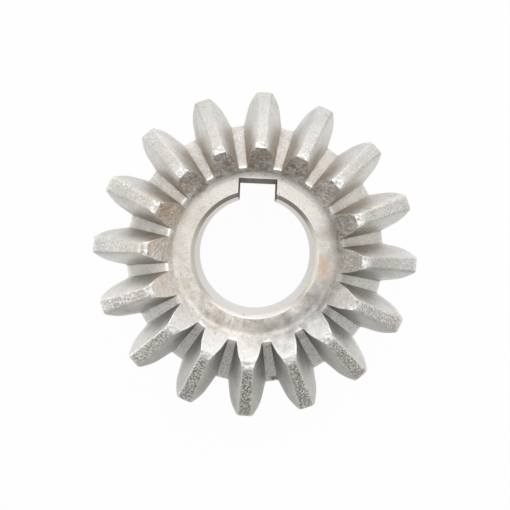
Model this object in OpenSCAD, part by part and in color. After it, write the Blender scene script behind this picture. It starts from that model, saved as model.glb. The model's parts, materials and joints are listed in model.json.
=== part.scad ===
// Straight bevel pinion: one steel casting with a ring of teeth, a keyed bore and a plain hub behind it.
// The axis is Z. The hub's back face lies on Z = 0 and the small end (toe) of the teeth points up.

/* [Teeth] */
// Number of teeth
teeth = 16; // [12:1:22]
// Module at the large end (heel) of the teeth
gear_module = 3.9; // [3.5:0.05:4.5]
// Half angle of the pitch cone
pitch_angle = 45; // [40:1:50]
// Pressure angle of the flanks
pressure_angle = 17.5; // [14.5:0.5:25]
// Tooth height above the pitch cone at the heel
addendum = 4.3; // [3:0.1:4.6]
// Tooth depth below the pitch cone at the heel
dedendum = 4.9; // [4:0.1:5.6]
// Tooth thickness along the pitch circle at the heel
tooth_thickness = 6.6; // [5.8:0.1:7.4]
// Length of the teeth along the pitch cone
face_width = 15.3; // [10:0.1:18]
// Rounding of the long edges of the top lands at the heel
tip_round = 0.6; // [0.2:0.1:0.8]
// Lean of the straight foot of the flanks, below the involute
foot_lean = 13; // [8:1:15]
// Fillet in the corners of the tooth spaces at the heel
root_fillet = 0.4; // [0.3:0.1:1.2]
// How much of the toe corner is faced off the tooth tips, along the axis
tip_facing = 0.7; // [0.2:0.1:1.2]

/* [Hub] */
// Length of the hub, from the back face to the front ring
hub_length = 26; // [22:0.5:34]
// Diameter of the hub behind the teeth
hub_d = 45; // [38:0.5:52]
// Diameter at which the front ring meets the toe cone
front_ring_d = 33.3; // [32:0.1:36]
// Fillet between the front ring and the toe cone
front_fillet = 1.9; // [0.5:0.1:3]
// Fillet between the hub and the heel cone
back_fillet = 2; // [0.5:0.1:4]
// Chamfer on the rim of the back face
hub_chamfer = 1; // [0.3:0.1:2]

/* [Bore] */
// Diameter of the bore
bore_d = 25; // [18:0.5:28]
// Chamfer at both ends of the bore
bore_chamfer = 0.8; // [0.3:0.1:1.5]
// Width of the keyway
key_width = 8; // [5:0.5:10]
// Depth of the keyway above the bore
key_depth = 3.3; // [2:0.1:4]
// Angle by which the nearest tooth is turned away from the middle of the keyway
key_clocking = 1; // [-11:0.5:11]

/* [Hidden] */

cast_steel = [0.72, 0.71, 0.68];
round_fn = 96;
// Steps along one involute flank, one root fillet and one tip round
flank_steps = 8;
fillet_steps = 4;
round_steps = 3;
// How far the cutting shapes run past the metal, and past the heel as a share of the cone distance
overrun = 2;
heel_overrun = 1.12;

hub_r = hub_d / 2;
bore_r = bore_d / 2;
front_ring_r = front_ring_d / 2;

// Pitch cone: radius and cone distance at the heel, and the toe's share of them
pitch_r = gear_module * teeth / 2;
cone_distance = pitch_r / sin(pitch_angle);
toe_share = 1 - face_width / cone_distance;

// Heights on the axis. The toe cone starts at the front ring and the pitch cone follows from it.
toe_pitch_z = hub_length + (toe_share * pitch_r - front_ring_r) * tan(pitch_angle);
apex_z = toe_pitch_z + toe_share * pitch_r / tan(pitch_angle);
heel_pitch_z = apex_z - pitch_r / tan(pitch_angle);

// Equivalent spur gear on the developed back cone
virtual_r = pitch_r / cos(pitch_angle);
base_r = virtual_r * cos(pressure_angle);
tip_r = virtual_r + addendum;
root_r = virtual_r - dedendum;
half_pitch = 180 / teeth * cos(pitch_angle);
half_tooth = tooth_thickness / (2 * virtual_r) * 180 / PI;

function involute(a) = tan(a) * 180 / PI - a;
function flank_pressure(rho) = acos(min(1, base_r / rho));

// Foot of the flank: straight below form_r, beside the radius at foot_angle and foot_offset away from it
form_r = base_r / cos(foot_lean);
foot_offset = form_r * sin(foot_lean);
foot_angle = half_pitch - half_tooth - involute(pressure_angle) + involute(foot_lean) + foot_lean;

// Half angle of the tooth space at a radius of the developed back cone
function space_angle(rho) = rho < form_r
    ? foot_angle - asin(foot_offset / rho)
    : half_pitch - half_tooth - involute(pressure_angle) + involute(flank_pressure(rho));

// A point given by its radius, the angle of its radius and offsets across and along that radius
function polar_offset(rho, angle, across, along) = let (
    x = across,
    y = rho + along
) [sqrt(x * x + y * y), angle + atan2(x, y)];

// One side of a tooth space as [radius, angle] on the developed back cone, from the root to past the tip
fillet_mid_r = root_r + root_fillet;
fillet_turn = acos((foot_offset + root_fillet) / fillet_mid_r);
fillet_end_r = norm([foot_offset, fillet_mid_r * sin(fillet_turn)]);
fillet_mid_angle = foot_angle + fillet_turn - 90;
fillet_points = [
    for (i = [0 : fillet_steps - 1]) let (a = fillet_turn * i / fillet_steps)
        polar_offset(fillet_mid_r, fillet_mid_angle, root_fillet * sin(a), -root_fillet * cos(a))
];
tip_pressure = flank_pressure(tip_r);
flank_end_r = tip_r - tip_round * (1 - sin(tip_pressure));
flank_points = [
    for (i = [0 : flank_steps]) let (rho = fillet_end_r + (flank_end_r - fillet_end_r) * i / flank_steps)
        [rho, space_angle(rho)]
];
tip_mid = polar_offset(flank_end_r, space_angle(flank_end_r),
    tip_round * cos(tip_pressure), -tip_round * sin(tip_pressure));
tip_points = [
    for (i = [1 : round_steps]) let (a = (90 - tip_pressure) * (1 - i / round_steps))
        polar_offset(tip_mid[0], tip_mid[1], -tip_round * sin(a), tip_round * cos(a))
];
last_tip = tip_points[round_steps - 1];
side_points = concat(fillet_points, flank_points, tip_points, [[last_tip[0] + overrun, last_tip[1]]]);

// Where a point of the developed back cone lies in space, carried on along its line from the apex
function in_space(point, side) = let (
    azimuth = side * point[1] / cos(pitch_angle),
    r = heel_overrun * point[0] * cos(pitch_angle),
    rise = (point[0] - virtual_r) * sin(pitch_angle),
    z = apex_z + heel_overrun * (heel_pitch_z + rise - apex_z)
) [r * sin(azimuth), r * cos(azimuth), z];

// Corners of the blank's section, as [radius, height]
function on_heel(r) = [r, heel_pitch_z + (r - pitch_r) * tan(pitch_angle)];
heel_tip = on_heel(tip_r * cos(pitch_angle));
toe_tip = [toe_share * heel_tip[0], apex_z + toe_share * (heel_tip[1] - apex_z)];
facing_z = toe_tip[1] - tip_facing;
facing_inner = [toe_tip[0] - tip_facing / tan(pitch_angle), facing_z];
facing_outer = toe_tip + (heel_tip - toe_tip) * tip_facing / (toe_tip[1] - heel_tip[1]);
ring_corner = [front_ring_r, hub_length];
hub_corner = on_heel(hub_r);

// Filler for an inner corner: it fills the space between two straight sides up to an arc that meets both.
// from and to are the directions of the sides, in degrees, and the space lies between them.
module inner_fillet(corner, from, to, radius) {
    half = (to - from) / 2;
    reach = radius / tan(half);
    middle = corner + radius / sin(half) * [cos(from + half), sin(from + half)];
    difference() {
        polygon([
            corner - overrun / 4 * [cos(from + half), sin(from + half)],
            corner + reach * [cos(from), sin(from)],
            middle,
            corner + reach * [cos(to), sin(to)],
        ]);
        translate(middle) circle(radius, $fn = round_fn);
    }
}

// Half section of the turned blank, without its bore
module blank_section() {
    polygon([
        [0, 0],
        [hub_r - hub_chamfer, 0],
        [hub_r, hub_chamfer],
        hub_corner,
        heel_tip,
        facing_outer,
        facing_inner,
        ring_corner,
        [0, hub_length],
    ]);
    inner_fillet(ring_corner, pitch_angle, 180, front_fillet);
    inner_fillet(hub_corner, -90, pitch_angle, back_fillet);
}

module blank() {
    rotate_extrude($fn = round_fn) blank_section();
}

// Cutter for one tooth space: a pyramid that comes to its point at the apex of the pitch cone
module tooth_space() {
    count = len(side_points);
    last = count - 1;
    apex = 2 * count;
    points = concat(
        [for (side = [-1, 1], point = side_points) in_space(point, side)],
        [[0, 0, apex_z]]
    );
    // The left side's points come first and the right side's start at count
    walls = [
        for (i = [0 : last - 1]) each [
            [apex, i, i + 1],
            [apex, count + i + 1, count + i],
            [i, count + i, count + i + 1, i + 1],
        ]
    ];
    floor_and_top = [
        [apex, count, 0],
        [apex, last, count + last],
    ];
    polyhedron(points, concat(walls, floor_and_top));
}

// Through bore, its two chamfers and the keyway
module keyed_bore() {
    cut = bore_chamfer + overrun;
    translate([0, 0, -overrun]) {
        cylinder(r = bore_r, h = hub_length + 2 * overrun, $fn = round_fn);
        cylinder(r1 = bore_r + cut, r2 = bore_r, h = cut, $fn = round_fn);
    }
    translate([0, 0, hub_length - bore_chamfer])
        cylinder(r1 = bore_r, r2 = bore_r + cut, h = cut, $fn = round_fn);
    translate([-key_width / 2, 0, -overrun])
        cube([key_width, bore_r + key_depth, facing_z + 2 * overrun]);
}

module pinion_gear() {
    color(cast_steel) difference() {
        blank();
        for (i = [0 : teeth - 1]) rotate((i + 0.5) * 360 / teeth - key_clocking) tooth_space();
        keyed_bore();
    }
}

pinion_gear();
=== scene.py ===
"""Looks of a straight bevel pinion: a shot-blasted steel casting with a turned, keyed bore."""

import json
import logging
import math
from collections.abc import Mapping, Sequence
from dataclasses import dataclass
from enum import Enum, IntEnum, auto
from typing import Any

import bmesh
import bpy
import numpy as np
from mathutils import Matrix, Vector


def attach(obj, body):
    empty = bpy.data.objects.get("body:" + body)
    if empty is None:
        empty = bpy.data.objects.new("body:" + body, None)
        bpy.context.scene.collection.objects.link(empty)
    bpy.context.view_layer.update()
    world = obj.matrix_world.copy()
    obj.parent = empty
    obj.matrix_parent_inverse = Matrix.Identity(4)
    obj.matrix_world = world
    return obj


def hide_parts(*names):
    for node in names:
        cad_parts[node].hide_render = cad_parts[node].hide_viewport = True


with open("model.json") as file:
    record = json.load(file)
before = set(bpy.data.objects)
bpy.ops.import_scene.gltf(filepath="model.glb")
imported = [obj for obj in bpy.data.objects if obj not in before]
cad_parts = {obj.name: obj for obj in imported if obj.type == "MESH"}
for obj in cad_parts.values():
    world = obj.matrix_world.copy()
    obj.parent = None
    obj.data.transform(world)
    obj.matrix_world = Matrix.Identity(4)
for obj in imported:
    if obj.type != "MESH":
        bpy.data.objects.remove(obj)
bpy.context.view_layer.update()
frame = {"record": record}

LOG = logging.getLogger("pinion")
MM = 0.001
TINY = 1e-6
NODE = "pinion_gear"
BODY = "root"

# What feeds a node's input: a link or a value. A surface is a colour and a roughness.
Feed = bpy.types.NodeSocket | float | tuple[float, ...]
Surface = tuple[Feed, Feed]


class Finish(Enum):
    """How a face of the gear was made. The name is also that of its mask and its input of the node tree."""

    CAST = auto()
    FACED = auto()
    TURNED = auto()
    BROACHED = auto()


class Station(IntEnum):
    """Corners of a tooth's section, from the front rim over the toe and the heel round to the back face."""

    RIM = 0
    FACET = 1
    TOE = 2
    HEEL = 3
    HUB_FOOT = 4
    HUB_RIM = 5
    BACK = 6


def ramp(values: np.ndarray, start: float, end: float) -> np.ndarray:
    """Rises from 0 at a start to 1 at an end, and stays level beyond both."""
    return np.clip((values - start) / (end - start), 0, 1)


def nearness(gap: np.ndarray, reach: float) -> np.ndarray:
    """Falls off with a gap, from 1 where there is none."""
    return np.exp(-gap / reach)


def linear(code: str) -> tuple[float, float, float, float]:
    """Turns an sRGB hex colour into a linear one.

    Args:
        code: the colour, such as "#c4c0b8".

    Returns:
        Red, green, blue and alpha for a node socket.
    """
    parts = [int(code[i : i + 2], 16) / 255 for i in (1, 3, 5)]
    red, green, blue = (c / 12.92 if c <= 0.04045 else ((c + 0.055) / 1.055) ** 2.4 for c in parts)
    return red, green, blue, 1.0


def add_node(
    tree: bpy.types.NodeTree, kind: str, inputs: Mapping[str | int, Any] | None = None, **settings: Any
) -> bpy.types.Node:
    """Adds a node to a tree, with its settings, values and links.

    Args:
        tree: the shader or geometry tree.
        kind: the node's type name.
        inputs: for each input, by name or number, a value or the output socket that feeds it.
        settings: the node's own properties.

    Returns:
        The new node.
    """
    node = tree.nodes.new(kind)
    for name, value in settings.items():
        setattr(node, name, value)
    for key, value in (inputs or {}).items():
        if isinstance(value, bpy.types.NodeSocket):
            tree.links.new(value, node.inputs[key])
        else:
            node.inputs[key].default_value = value
    return node


class Lay(Enum):
    """Direction of a surface's marks.

    Three factors draw the coordinates out along X, Y and Z, and a fourth adds the distance from the axis.
    """

    EVEN = (1.0, 1.0, 1.0, 0.0)
    ACROSS = (0.7, 0.7, 1.0, 0.6)
    ROUND = (0.05, 0.05, 1.0, 1.0)
    ALONG = (4.0, 4.0, 0.5, 0.0)

    def drawn(self, tree: bpy.types.NodeTree, place: bpy.types.NodeSocket) -> bpy.types.NodeSocket:
        """Draws coordinates out along the marks.

        Args:
            tree: the material's tree.
            place: coordinates in object space.

        Returns:
            Coordinates in which an even noise takes this lay.
        """
        if self is Lay.EVEN:
            return place
        *stretch, outward = self.value
        drawn = add_node(
            tree, "ShaderNodeVectorMath", {0: place, 1: stretch}, operation="MULTIPLY"
        ).outputs[0]
        if not outward:
            return drawn
        flat = add_node(
            tree, "ShaderNodeVectorMath", {0: place, 1: (1, 1, 0)}, operation="MULTIPLY"
        ).outputs[0]
        radius = add_node(tree, "ShaderNodeVectorMath", {0: flat}, operation="LENGTH").outputs["Value"]
        shift = add_node(tree, "ShaderNodeCombineXYZ", {"X": radius}).outputs[0]
        return add_node(
            tree, "ShaderNodeVectorMath", {0: shift, 1: (outward, 0, 0), 2: drawn}, operation="MULTIPLY_ADD"
        ).outputs[0]


@dataclass(frozen=True)
class ToothForm:
    """Straight bevel teeth on the equivalent spur gear of the back cone, in millimetres and radians.

    The tip edges are worn a little rounder than the solid's.
    """

    teeth: int = 16
    module: float = 3.9
    pitch_angle: float = math.radians(45)
    pressure_angle: float = math.radians(17.5)
    foot_lean: float = math.radians(13)
    addendum: float = 4.3
    dedendum: float = 4.9
    thickness: float = 6.6
    face_width: float = 15.3
    tip_round: float = 0.9
    root_fillet: float = 0.4
    land_steps: int = 4
    round_steps: int = 6
    flank_steps: int = 10
    fillet_steps: int = 4
    root_steps: int = 3

    @property
    def pitch_radius(self) -> float:
        """Pitch radius at the heel."""
        return self.module * self.teeth / 2

    @property
    def toe_share(self) -> float:
        """The toe's share of the cone distance."""
        return 1 - self.face_width * math.sin(self.pitch_angle) / self.pitch_radius

    @property
    def virtual_radius(self) -> float:
        """Pitch radius of the equivalent spur gear."""
        return self.pitch_radius / math.cos(self.pitch_angle)

    @property
    def tip_radius(self) -> float:
        """Tip radius of the equivalent spur gear."""
        return self.virtual_radius + self.addendum

    @property
    def root_radius(self) -> float:
        """Root radius of the equivalent spur gear."""
        return self.virtual_radius - self.dedendum

    @property
    def half_pitch(self) -> float:
        """Half a tooth pitch, as an angle of the equivalent spur gear."""
        return math.pi / self.teeth * math.cos(self.pitch_angle)

    @property
    def base_radius(self) -> float:
        """Base radius of the equivalent spur gear."""
        return self.virtual_radius * math.cos(self.pressure_angle)

    @property
    def foot_offset(self) -> float:
        """Distance of the straight foot of a flank from the radius beside it."""
        return self.base_radius * math.tan(self.foot_lean)

    @property
    def foot_angle(self) -> float:
        """Angle of the radius beside the straight foot, from the middle of the tooth space."""
        return self._involute_angle(self.foot_lean) + self.foot_lean

    def _involute_angle(self, pressure: float | np.ndarray) -> float | np.ndarray:
        """Half angle of the tooth space along the involute.

        Args:
            pressure: pressure angle of the involute at the point.

        Returns:
            Angle from the middle of the tooth space to the flank.
        """
        start = math.tan(self.pressure_angle) - self.pressure_angle
        at_pitch = self.half_pitch - self.thickness / (2 * self.virtual_radius)
        return at_pitch - start + np.tan(pressure) - pressure

    def space_angle(self, rho: np.ndarray) -> np.ndarray:
        """Half angle of the tooth space: an involute over a straight foot.

        Args:
            rho: radii on the equivalent spur gear.

        Returns:
            Angles from the middle of the tooth space to the flank.
        """
        foot = self.foot_angle - np.arcsin(np.minimum(1.0, self.foot_offset / rho))
        involute = self._involute_angle(np.arccos(np.minimum(1.0, self.base_radius / rho)))
        return np.where(rho < self.base_radius / math.cos(self.foot_lean), foot, involute)

    def half_profile(self) -> np.ndarray:
        """One side of a tooth space, from the middle of the root land to the middle of the top land.

        Returns:
            Rows of radius, angle and zone, where the zone runs from -1 in the middle of the root land
            over 0 at its edge, 1 at the foot of the flank and 2 at its head to 3 on the top land.
        """
        mid_r = self.root_radius + self.root_fillet
        end_turn = math.acos((self.foot_offset + self.root_fillet) / mid_r)
        end_r = math.hypot(self.foot_offset, mid_r * math.sin(end_turn))
        mid_angle = self.foot_angle + end_turn - math.pi / 2
        turn = np.linspace(0, end_turn, self.fillet_steps + 1)
        across, along = self.root_fillet * np.sin(turn), -self.root_fillet * np.cos(turn)
        fillet = self._offset(mid_r, mid_angle, across, along)
        root_angle = np.linspace(0, fillet[0, 1], self.root_steps + 1)[:-1]
        root = np.column_stack([np.full_like(root_angle, self.root_radius), root_angle])

        tip_pressure = math.acos(self.base_radius / self.tip_radius)
        head_r = self.tip_radius - self.tip_round * (1 - math.sin(tip_pressure))
        rho = np.linspace(end_r, head_r, self.flank_steps + 1)[1:-1]
        flank = np.column_stack([rho, self.space_angle(rho)])
        head_angle = self.space_angle(np.array([head_r]))[0]
        centre = self._offset(
            head_r,
            head_angle,
            np.array([self.tip_round * math.cos(tip_pressure)]),
            np.array([-self.tip_round * math.sin(tip_pressure)]),
        )[0]
        turn = np.linspace(math.pi / 2 - tip_pressure, 0, self.round_steps + 1)
        rounding = self._offset(
            centre[0], centre[1], -self.tip_round * np.sin(turn), self.tip_round * np.cos(turn)
        )
        land_angle = np.linspace(rounding[-1, 1], self.half_pitch, self.land_steps + 1)[1:]
        land = np.column_stack([np.full_like(land_angle, self.tip_radius), land_angle])

        stretches = [root, fillet, flank, rounding, land]
        zones = [
            np.linspace(-1, 0, len(root) + 1)[:-1],
            np.linspace(0, 1, len(fillet)),
            np.linspace(1, 2, len(flank) + 2)[1:-1],
            np.linspace(2, 3, len(rounding)),
            np.full(len(land), 3.0),
        ]
        return np.column_stack([np.concatenate(stretches), np.concatenate(zones)])

    @staticmethod
    def _offset(rho: float, angle: float, across: np.ndarray, along: np.ndarray) -> np.ndarray:
        """Points beside a point of the equivalent spur gear.

        Args:
            rho: radius of the point.
            angle: angle of the point.
            across: distances across its radius, away from the tooth space.
            along: distances along its radius, outwards.

        Returns:
            Rows of radius and angle.
        """
        return np.column_stack([np.hypot(across, rho + along), angle + np.arctan2(across, rho + along)])


@dataclass(frozen=True)
class BlankForm:
    """Turned blank of the gear, in millimetres. Heights are above the hub's back face.

    The steps say how finely each stretch of a section is cut, and the section's arcs are its rounded corners.
    A facet keeps room for its rounds: a number of edge rounds, taken from the toe where it is narrower.
    """

    hub_length: float = 26.0
    hub_radius: float = 22.5
    ring_radius: float = 16.65
    front_fillet: float = 1.9
    back_fillet: float = 2.0
    hub_chamfer: float = 1.0
    bore_radius: float = 12.5
    bore_chamfer: float = 0.8
    key_width: float = 8.0
    key_depth: float = 3.3
    tip_facing: float = 0.7
    edge_round: float = 0.35
    heel_round: float = 0.3
    cut_round: float = 0.2
    facet_room: float = 3.0
    section_spans: tuple[int, ...] = (8, 3, 28, 8, 6, 1)
    section_arcs: tuple[int, ...] = (2, 3, 3, 5, 1)
    ring_steps: int = 12
    chamfer_steps: int = 2
    bore_steps: int = 14
    back_steps: int = 6


@dataclass(frozen=True)
class MarkPlaces:
    """Where the marks on the gear begin and end.

    A pair of places is where a mark starts and where it is full. Places round a tooth are zones of its
    profile, places along it are stations of its section, or shares of the way from toe to heel, and reaches
    are in millimetres unless they belong to such a place.
    """

    edge_reach: float = 0.45
    edge_overlap: float = 0.11
    ridge: float = 2.5
    ridge_width: float = 2.4
    ridge_end: float = 9.0
    heel_wear: tuple[float, float] = (1.8, 2.5)
    heel_least: float = 0.2
    land: tuple[float, float] = (2.1, 2.5)
    flank_low: tuple[float, float] = (0.6, 1.6)
    flank_high: tuple[float, float] = (2.15, 1.75)
    valley_low: tuple[float, float] = (-0.9, 0.1)
    valley_high: tuple[float, float] = (1.7, 0.7)
    recess: float = 0.5
    recess_reach: float = 0.18
    root: tuple[float, float] = (0.4, 0.2)
    lip: tuple[float, float] = (1.0, 0.0)
    lip_reach: float = 0.5
    foot_low: tuple[float, float] = (0.2, 0.7)
    foot_high: tuple[float, float] = (1.9, 0.9)
    foot_along: tuple[float, float] = (1.18, 0.27)
    toe_end_shade_along: tuple[float, float] = (0.85, 0.11)
    facet_least: float = 0.2
    chip_depth: float = 1.5
    chip_reach: float = 0.12
    cast_end: tuple[float, float] = (5.5, 5.0)
    hub_soil: tuple[float, float] = (3.2, 4.2)
    hub_soil_share: float = 0.3
    ring_blend: float = 0.3
    ring_smooth: float = 0.75
    fillet_share: float = 0.6
    fillet_soil: float = 0.1


class PinionSkin:
    """The whole visible gear: one sector that a node tree repeats, welded to the bored core."""

    CORNER_SHARE = 0.1
    ROUND_LIMIT = 0.4

    def __init__(self, teeth: ToothForm, blank: BlankForm, places: MarkPlaces, clocking: float) -> None:
        """Works out the heights that the tooth sector and the core share.

        Args:
            teeth: form of the teeth.
            blank: form of the blank.
            places: where the marks on them begin and end.
            clocking: angle of the first tooth about the axis, from +X.
        """
        self.teeth = teeth
        self.blank = blank
        self.places = places
        self.clocking = clocking
        slope = math.tan(teeth.pitch_angle)
        toe_radius = teeth.toe_share * teeth.pitch_radius
        toe_z = blank.hub_length + (toe_radius - blank.ring_radius) * slope
        self.apex_z = toe_z + toe_radius / slope
        self.heel_z = self.apex_z - teeth.pitch_radius / slope
        tip = self.heel_point(teeth.tip_radius * math.cos(teeth.pitch_angle))
        toe_tip_z = self.apex_z + teeth.toe_share * (tip[1] - self.apex_z)
        self.facing_z = toe_tip_z - blank.tip_facing
        reach = blank.front_fillet * math.tan(teeth.pitch_angle / 2)
        self.flat_radius = blank.ring_radius - reach
        self.rim_radius = blank.ring_radius + reach * math.cos(teeth.pitch_angle)
        profile = teeth.half_profile()
        mirrored = profile[-2::-1] * [1, -1, 1] + [0, 2 * teeth.half_pitch, 0]
        self.profile = np.concatenate([profile, mirrored])

    def heel_point(self, radius: float) -> tuple[float, float]:
        """Point of the heel cone at a radius, as radius and height."""
        rise = (radius - self.teeth.pitch_radius) * math.tan(self.teeth.pitch_angle)
        return radius, self.heel_z + rise

    def azimuths(self) -> np.ndarray:
        """Azimuths of one sector's columns, from the middle of a tooth."""
        return (self.profile[:, 1] - self.teeth.half_pitch) / math.cos(self.teeth.pitch_angle)

    def front_height(self, radius: np.ndarray) -> np.ndarray:
        """Height of the front ring and of the fillet that leads it into the toe cone.

        Args:
            radius: distances from the axis.

        Returns:
            Heights above the hub's back face.
        """
        beyond = np.clip(radius - self.flat_radius, 0, None)
        size = self.blank.front_fillet
        return self.blank.hub_length + size - np.sqrt(size**2 - np.minimum(beyond, size) ** 2)

    def sector(self) -> bpy.types.Object:
        """Builds one tooth with half a tooth space on each side, from the front rim round to the back face.

        Returns:
            The sector's object, with its masks as attributes.
        """
        blank = self.blank
        rho = self.profile[:, 0]
        delta = self.teeth.pitch_angle
        slope = math.tan(delta)
        radius = rho * math.cos(delta)
        height = self.heel_z + (rho - self.teeth.virtual_radius) * math.sin(delta)
        lean = radius / (self.apex_z - height)

        toe_offset = blank.hub_length - blank.ring_radius * slope
        toe_r = (self.apex_z - toe_offset) / (slope + 1 / lean)
        toe_z = toe_offset + toe_r * slope
        faced = toe_z > self.facing_z
        corner_z = np.where(faced, self.facing_z, toe_z)
        corner_r = (corner_z - toe_offset) / slope
        hit_r = np.where(faced, (self.apex_z - self.facing_z) * lean, toe_r)
        lead = np.clip(blank.facet_room * blank.edge_round - (hit_r - corner_r), 0, None)
        corner = np.column_stack([corner_r - lead * math.cos(delta), corner_z - lead * math.sin(delta)])
        hit = np.column_stack([hit_r, corner_z])
        heel_offset = self.heel_z - self.teeth.pitch_radius * slope
        heel_r = (self.apex_z - heel_offset) / (slope + 1 / lean)
        heel = np.column_stack([heel_r, heel_offset + heel_r * slope])

        path = {
            Station.RIM: (self.rim_radius, self.front_height(np.array([self.rim_radius]))[0]),
            Station.FACET: corner,
            Station.TOE: hit,
            Station.HEEL: heel,
            Station.HUB_FOOT: self.heel_point(blank.hub_radius),
            Station.HUB_RIM: (blank.hub_radius, blank.hub_chamfer),
            Station.BACK: (blank.hub_radius - blank.hub_chamfer, 0),
        }
        corners = [np.broadcast_to(np.asarray(path[place], float), hit.shape) for place in Station]
        worn = np.interp(self.profile[:, 2], self.places.heel_wear, (self.places.heel_least, 1))
        rounds = [
            blank.cut_round,
            blank.edge_round,
            blank.heel_round * worn,
            blank.back_fillet,
            blank.cut_round,
        ]
        rows, stations = self._rounded(corners, rounds, blank.section_spans, blank.section_arcs)
        points = self._spun(rows, -self.azimuths()[None, :])

        zone = np.tile(self.profile[:, 2], (len(rows), 1))
        station = np.tile(stations[:, None], (1, len(rho)))
        facet = np.tile(hit_r - corner_r, (len(rows), 1))
        return self._grid_object("tooth_sector", points, self._sector_masks(rows, zone, station, facet))

    def _sector_masks(
        self, rows: np.ndarray, zone: np.ndarray, station: np.ndarray, facet: np.ndarray
    ) -> dict[str, np.ndarray]:
        """Masks that the finishes read, one value for each point of the sector.

        Args:
            rows: radius and height of each point.
            zone: place round the tooth, from root to top land.
            station: place along the section, from the front rim to the back face.
            facet: width of the faced flat on the tooth's tip in the point's section.

        Returns:
            Values by mask name.
        """
        places = self.places
        length = np.linalg.norm(np.diff(rows, axis=0), axis=2)
        along = np.concatenate([np.zeros((1, rows.shape[1])), np.cumsum(length, axis=0)])
        toe_gap = self._gap_to(along, station, Station.TOE)
        heel_gap = self._gap_to(along, station, Station.HEEL)
        beyond = np.maximum(Station.TOE - station, station - Station.HEEL)
        tooth = ramp(beyond, places.edge_overlap, 0)
        ridge_gap = np.abs(zone - places.ridge) * places.ridge_width + places.ridge_end * (1 - tooth)
        from_toe = ramp(station, Station.TOE, Station.HEEL)
        foot = ramp(zone, *places.foot_low) * ramp(zone, *places.foot_high) * tooth
        has_facet = facet > places.facet_least
        faced = (station > Station.FACET) & (station < Station.TOE) & has_facet
        chips = nearness(np.abs(station - Station.FACET), places.chip_reach) * has_facet
        on_toe = (station > Station.RIM) & (station < Station.TOE)
        return {
            "cast": ramp(station, *places.cast_end) * (1 + places.chip_depth * chips) * (1 - faced),
            # Painted highlight as well as rubbing: bright edges near the toe and heel and along the tip's
            # rounding.
            "wear": nearness(np.minimum(toe_gap, heel_gap), places.edge_reach),
            "ridge": nearness(ridge_gap, places.edge_reach),
            "land": ramp(zone, *places.land) * tooth,
            "flank": ramp(zone, *places.flank_low) * ramp(zone, *places.flank_high) * tooth,
            "valley": ramp(zone, *places.valley_low) * ramp(zone, *places.valley_high) * tooth,
            "recess": nearness(np.abs(zone - places.recess), places.recess_reach) * tooth,
            "root": ramp(zone, *places.root) * tooth,
            "lip": nearness(toe_gap, places.lip_reach) * ramp(zone, *places.lip),
            "toe": on_toe + places.hub_soil_share * ramp(station, *places.hub_soil),
            "foot": foot * ramp(from_toe, *places.foot_along),
            # Painted shade: where the toe end of the tooth spaces is darkened.
            "deep": foot * ramp(from_toe, *places.toe_end_shade_along),
            "faced": faced,
        }

    @staticmethod
    def _gap_to(along: np.ndarray, station: np.ndarray, edge: float) -> np.ndarray:
        """Distance along the section from each point to an edge of it.

        Args:
            along: length of the section up to each point.
            station: place of each point along the section.
            edge: station of the edge.

        Returns:
            Distances in millimetres.
        """
        nearest = np.argmin(np.abs(station[:, 0] - edge))
        return np.abs(along - along[nearest])

    @classmethod
    def _rounded(
        cls,
        corners: Sequence[np.ndarray],
        rounds: Sequence[float | np.ndarray],
        spans: Sequence[int],
        arcs: Sequence[int],
    ) -> tuple[np.ndarray, np.ndarray]:
        """Rounds the corners of many sections at once.

        Args:
            corners: for each corner, its radius and height in every section.
            rounds: radius at each inner corner, for all sections or for each.
            spans: steps along each straight side.
            arcs: steps round each inner corner.

        Returns:
            Points by row and section, and each row's station: whole numbers are corners.
        """
        starts, ends = [corners[0]], []
        for before, at, after, size in zip(corners, corners[1:], corners[2:], rounds):
            back, on = before - at, after - at
            back_length = np.linalg.norm(back, axis=1)
            on_length = np.linalg.norm(on, axis=1)
            back = back / back_length[:, None]
            on = on / on_length[:, None]
            half = np.arccos(np.clip(np.sum(back * on, axis=1), -1, 1)) / 2
            room = cls.ROUND_LIMIT * np.minimum(back_length, on_length)
            reach = np.minimum(size / np.maximum(np.tan(half), TINY), room)
            ends.append(at + back * reach[:, None])
            starts.append(at + on * reach[:, None])
        ends.append(corners[-1])

        rows, stations = [], []
        for i, (start, end, steps) in enumerate(zip(starts, ends, spans)):
            for t in np.linspace(0, 1, steps + 1):
                rows.append(start + (end - start) * t)
                stations.append(i + cls.CORNER_SHARE + (1 - 2 * cls.CORNER_SHARE) * t)
            if i < len(arcs):
                bend, after = corners[i + 1], starts[i + 1]
                for t in np.linspace(0, 1, arcs[i] + 1)[1:-1]:
                    rows.append((1 - t) ** 2 * end + 2 * t * (1 - t) * bend + t**2 * after)
                    stations.append(i + 1 - cls.CORNER_SHARE + 2 * cls.CORNER_SHARE * t)
        return np.array(rows), np.array(stations)

    @staticmethod
    def _spun(rows: np.ndarray, azimuth: np.ndarray) -> np.ndarray:
        """Turns radius and height into points at each column's azimuth, measured from +X."""
        radius, height = rows[..., 0], rows[..., 1]
        return np.stack([radius * np.cos(azimuth), radius * np.sin(azimuth), height], axis=-1)

    def core(self) -> bpy.types.Object:
        """Builds the front ring, the chamfered bore with its keyway, and the back face.

        Returns:
            The core's object, whose rims meet the sectors' columns.
        """
        blank = self.blank
        turns = self.clocking + np.arange(self.teeth.teeth) * 2 * math.pi / self.teeth.teeth
        rim_azimuth = (turns[:, None] + self.azimuths()[None, :-1]).ravel()
        from_key = (rim_azimuth - math.pi / 2 + math.pi) % (2 * math.pi) - math.pi
        half_key = blank.key_width / 2
        ceiling = blank.bore_radius + blank.key_depth
        mouth = blank.bore_radius + blank.bore_chamfer
        key_corner = math.atan2(half_key, ceiling)
        key_mouth = math.asin(half_key / mouth)
        key_side = math.asin(half_key / blank.bore_radius)
        for angle in (key_corner, key_mouth, key_side):
            for mark in (-angle, angle):
                from_key[np.argmin(np.abs(from_key - mark))] = mark
        azimuth = from_key + math.pi / 2

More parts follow.
